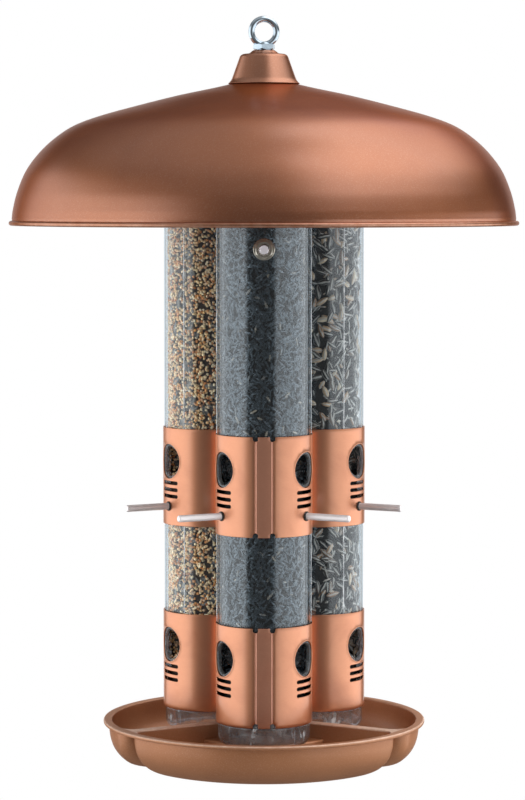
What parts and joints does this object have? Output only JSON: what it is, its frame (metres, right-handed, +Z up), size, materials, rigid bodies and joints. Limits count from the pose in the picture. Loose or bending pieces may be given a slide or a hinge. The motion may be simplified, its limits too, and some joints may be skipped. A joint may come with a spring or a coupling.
{
  "type": "hanging triple-tube bird feeder",
  "caption": "Hanging bird feeder: clear seed tubes with copper port collars and perches under a copper dome, standing in a divided seed tray, with a hanging eye on top.",
  "frame": {"origin": "centre of the flat underside of the tray, on the feeder's axis", "axes": "+Z up along the central rod, -Y towards the front tube, +X to the right seen from the front"},
  "size_m": [0.3478, 0.3478, 0.5119],
  "materials": {
    "tray": "copper-coloured metallic paint, satin",
    "dome_copper": "satin copper paint on spun metal",
    "copper_collar": "brushed bright copper sheet",
    "copper_strip": "brushed bright copper sheet",
    "clear_tube": "clear polycarbonate, glossy",
    "clear_base": "clear moulded plastic, glossy",
    "port_hood": "smoke-clear moulded plastic",
    "perch": "satin",
    "hardware": "yellowish zinc plate",
    "rod_steel": "zinc plated",
    "hub_plastic": "moulded, matt",
    "eye": "bright zinc plate",
    "seed_mix": "loose millet and sunflower seed",
    "seed_nyjer": "loose black nyjer seed",
    "seed_sunflower": "loose black and striped sunflower seed"
  },
  "bodies": {
    "root": {"tray": "tray", "centre_rod": "rod_steel", "tray_nut": "hardware", "tray_washer": "hardware", "support_nut": "hardware", "support_washer": "hardware", "tie_nut_front": "hardware", "tie_nut_rear": "hardware", "tie_washer_front": "hardware", "tie_washer_rear": "hardware", "tie_stud_front": "hardware", "tie_stud_rear": "hardware", "hub_sleeve": "hub_plastic", "tube_front": "clear_tube", "tube_base_front": "clear_base", "collar_lower_front": "copper_collar", "seam_strip_lower_front": "copper_strip", "port_baffle_lower_front_a": "port_hood", "port_baffle_lower_front_b": "port_hood", "collar_upper_front": "copper_collar", "seam_strip_upper_front": "copper_strip", "port_baffle_upper_front_a": "port_hood", "port_baffle_upper_front_b": "port_hood", "perch_front_a": "perch", "perch_front_b": "perch", "seed_fill_front": "seed_nyjer", "tube_right": "clear_tube", "tube_base_right": "clear_base", "collar_lower_right": "copper_collar", "seam_strip_lower_right": "copper_strip", "port_baffle_lower_right_a": "port_hood", "port_baffle_lower_right_b": "port_hood", "collar_upper_right": "copper_collar", "seam_strip_upper_right": "copper_strip", "port_baffle_upper_right_a": "port_hood", "port_baffle_upper_right_b": "port_hood", "perch_right_a": "perch", "perch_right_b": "perch", "seed_fill_right": "seed_sunflower", "tube_left": "clear_tube", "tube_base_left": "clear_base", "collar_lower_left": "copper_collar", "seam_strip_lower_left": "copper_strip", "port_baffle_lower_left_a": "port_hood", "port_baffle_lower_left_b": "port_hood", "collar_upper_left": "copper_collar", "seam_strip_upper_left": "copper_strip", "port_baffle_upper_left_a": "port_hood", "port_baffle_upper_left_b": "port_hood", "perch_left_a": "perch", "perch_left_b": "perch", "seed_fill_left": "seed_mix"},
    "cover": {"dome": "dome_copper", "finial": "dome_copper"},
    "eye": {"eye_nut": "eye"}
  },
  "joints": [
    {"name": "dome_lift", "type": "slide", "parent": "root", "child": "cover", "axis": [0, 0, 1], "range_m": [0, 0.14]},
    {"name": "eye_turn", "type": "hinge", "parent": "cover", "child": "eye", "pos_m": [0, 0, 0.489], "axis": [0, 0, 1], "continuous": true}
  ]
}
